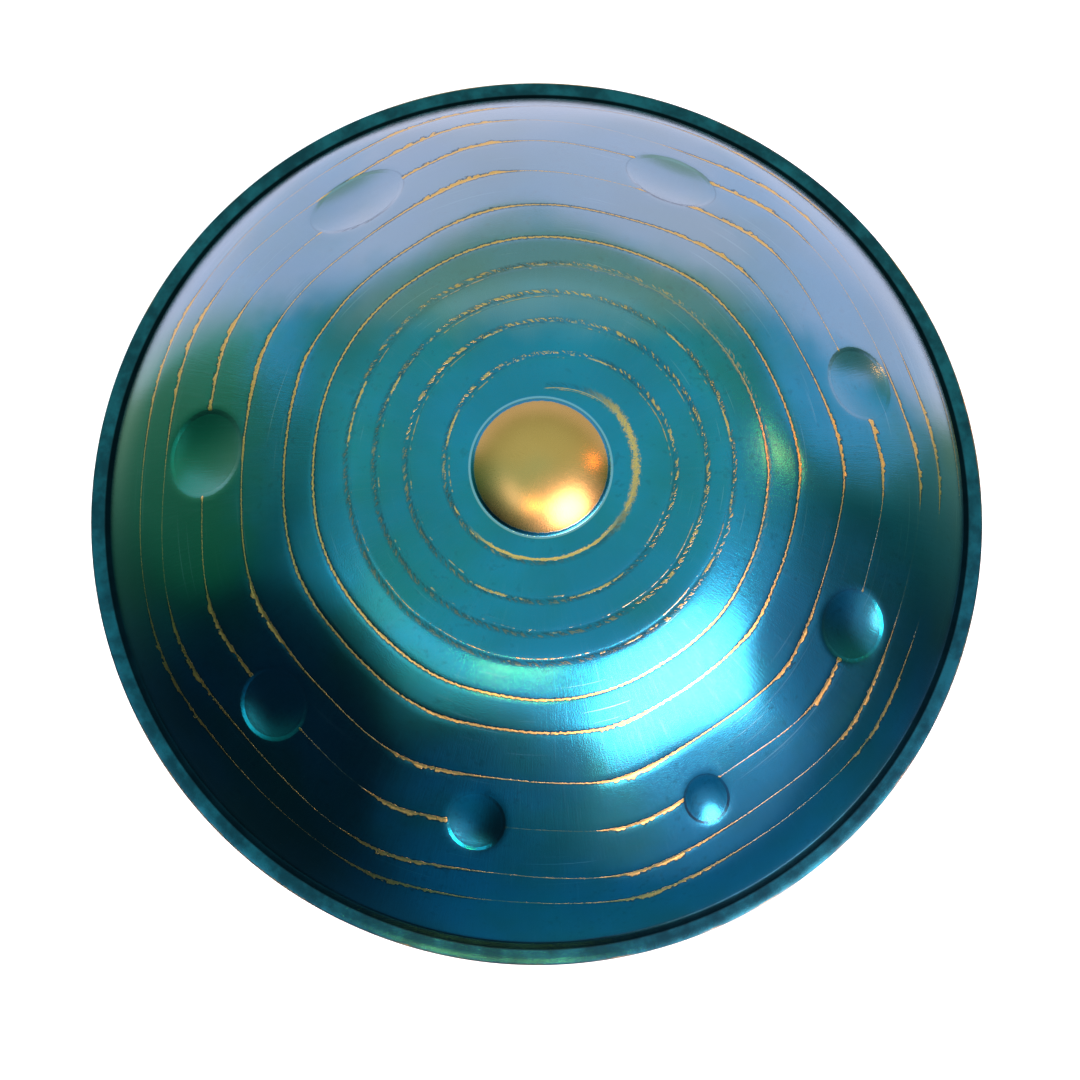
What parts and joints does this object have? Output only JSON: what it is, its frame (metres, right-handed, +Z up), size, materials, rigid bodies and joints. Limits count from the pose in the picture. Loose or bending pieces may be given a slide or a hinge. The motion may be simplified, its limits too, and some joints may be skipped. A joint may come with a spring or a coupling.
{
  "type": "handpan",
  "caption": "Lens-shaped steel handpan: two shells glued at a flat rim, a raised centre dome, a ring of dimpled tone fields above and a round port below.",
  "frame": {"origin": "on the rest plane, under the centre of the port", "axes": "+Z up through the ding, +Y away from the player, +X to the player's right"},
  "size_m": [0.56, 0.56, 0.2228],
  "materials": {
    "ground_shell_coat": "satin teal heat colour over steel, ground through to gold-coloured metal along a spiral line and on the dome",
    "shell_coat": "satin teal heat colour over steel",
    "adhesive": "cured dark structural adhesive"
  },
  "bodies": {
    "root": {"bottom_shell": "shell_coat", "rim_adhesive": "adhesive", "top_shell": "ground_shell_coat"}
  },
  "joints": []
}
